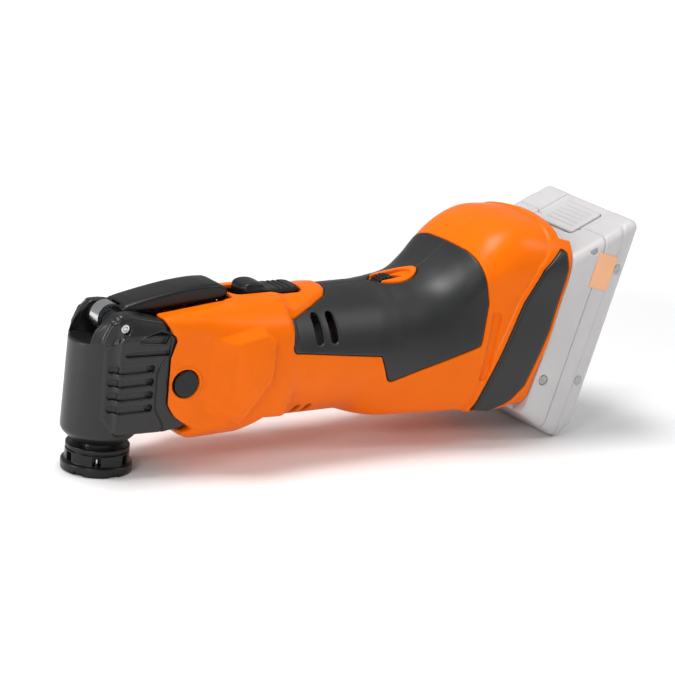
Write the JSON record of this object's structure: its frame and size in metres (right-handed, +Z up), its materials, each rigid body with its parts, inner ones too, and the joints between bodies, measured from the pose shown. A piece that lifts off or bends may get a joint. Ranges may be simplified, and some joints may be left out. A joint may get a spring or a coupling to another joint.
{
  "type": "oscillating multi tool",
  "caption": "Cordless oscillating multi tool with a quick-release blade clamp, a speed dial, a slide switch and a clip-on battery pack",
  "frame": {"origin": "centre of the blade cup's mouth, on the surface the tool stands on", "axes": "+X back along the tool to the battery pack, +Z up along the spindle, Y across the tool; +Z stays up in use as drawn"},
  "size_m": [0.3021, 0.0798, 0.1116],
  "materials": {
    "orange_shell": "satin moulded nylon",
    "rubber_grip": "matt soft overmould",
    "black_plastic": "fine texture",
    "head_black": "satin powder coat",
    "holder_black": "blackened steel",
    "inner_rubber": "matt",
    "cast_alloy": "as cast",
    "steel": "ground",
    "motor_iron": "laminated",
    "winding_copper": "enamelled wire",
    "circuit_board": "solder mask",
    "contact_metal": "plated",
    "pack_plastic": "frosted translucent",
    "cell_metal": "sleeved",
    "pack_screw_steel": "plated",
    "label_film": "printed film"
  },
  "bodies": {
    "tool_body": {"housing_left": "orange_shell", "housing_right": "orange_shell", "grip_left": "rubber_grip", "grip_right": "rubber_grip", "dial_bezel": "orange_shell", "bumper_left": "rubber_grip", "bumper_right": "rubber_grip", "damper_cap_left": "black_plastic", "damper_cap_right": "black_plastic", "damper_bushes": "inner_rubber", "gear_housing": "cast_alloy", "head_cover": "head_black", "lever_pivot_pin": "steel", "spindle_bearing_upper": "steel", "spindle_bearing_lower": "steel", "spindle_seal": "inner_rubber", "motor_stator": "motor_iron", "motor_front_shield": "black_plastic", "motor_rear_shield": "black_plastic", "motor_bearing_front": "steel", "motor_bearing_rear": "steel", "control_board": "circuit_board", "micro_switch": "black_plastic", "dial_axle": "steel", "battery_receiver": "black_plastic", "receiver_contacts": "contact_metal", "housing_screws": "steel", "head_screws": "steel"},
    "rotor": {"rotor_shaft": "steel", "rotor_core": "winding_copper", "cooling_fan": "black_plastic", "eccentric": "steel", "eccentric_bearing": "steel"},
    "spindle": {"spindle": "steel", "swing_fork": "cast_alloy", "tool_holder": "holder_black", "drive_pins": "steel", "clamp_spring": "steel"},
    "clamp_rod": {"clamp_rod": "steel"},
    "jaw_front": {"clamp_jaw_front": "steel"},
    "jaw_rear": {"clamp_jaw_rear": "steel"},
    "lever": {"release_lever": "black_plastic", "lever_cam": "steel"},
    "switch": {"switch_slider": "black_plastic", "switch_link": "black_plastic"},
    "dial": {"speed_dial": "black_plastic"},
    "battery": {"pack_case_front": "pack_plastic", "pack_case_rear": "pack_plastic", "pack_cells": "cell_metal", "pack_board": "circuit_board", "pack_contacts": "contact_metal", "pack_screws": "pack_screw_steel", "pack_label": "label_film"},
    "battery_button": {"pack_button": "pack_plastic", "pack_latch": "black_plastic"}
  },
  "joints": [
    {"name": "rotor_spin", "type": "hinge", "parent": "tool_body", "child": "rotor", "pos_m": [0.1, 0, 0.049], "axis": [1, 0, 0], "continuous": true},
    {"name": "spindle_swing", "type": "hinge", "parent": "tool_body", "child": "spindle", "pos_m": [0, 0, 0], "axis": [0, 0, 1], "range_deg": [-1.7, 1.7]},
    {"name": "lever_open", "type": "hinge", "parent": "tool_body", "child": "lever", "pos_m": [0, 0, 0.0734], "axis": [0, -1, 0], "range_deg": [0, 110]},
    {"name": "clamp_rod_slide", "type": "slide", "parent": "spindle", "child": "clamp_rod", "axis": [0, 0, -1], "range_m": [0, 0.002], "deforming": ["clamp_spring"]},
    {"name": "jaw_front_tilt", "type": "hinge", "parent": "spindle", "child": "jaw_front", "pos_m": [-0.0054, 0, 0.0106], "axis": [0, -1, 0], "range_deg": [0, 12]},
    {"name": "jaw_rear_tilt", "type": "hinge", "parent": "spindle", "child": "jaw_rear", "pos_m": [0.0054, 0, 0.0106], "axis": [0, 1, 0], "range_deg": [0, 12]},
    {"name": "switch_slide", "type": "slide", "parent": "tool_body", "child": "switch", "axis": [-1, 0, 0], "range_m": [0, 0.006]},
    {"name": "dial_turn", "type": "hinge", "parent": "tool_body", "child": "dial", "pos_m": [0.1565, 0, 0.0733], "axis": [0, 1, 0], "range_deg": [0, 270]},
    {"name": "battery_slide", "type": "slide", "parent": "tool_body", "child": "battery", "axis": [0.284, 0, 0.9588], "range_m": [0, 0.085]},
    {"name": "button_press", "type": "slide", "parent": "battery", "child": "battery_button", "axis": [0.397, 0, -0.9178], "range_m": [0, 0.0015], "stiffness_N_per_m": 2000}
  ],
  "couplings": [
    {"joint": "clamp_rod_slide", "follows": "lever_open", "m_per_rad": 0.0010416},
    {"joint": "jaw_front_tilt", "follows": "lever_open", "ratio": 0.10909},
    {"joint": "jaw_rear_tilt", "follows": "lever_open", "ratio": 0.10909}
  ]
}
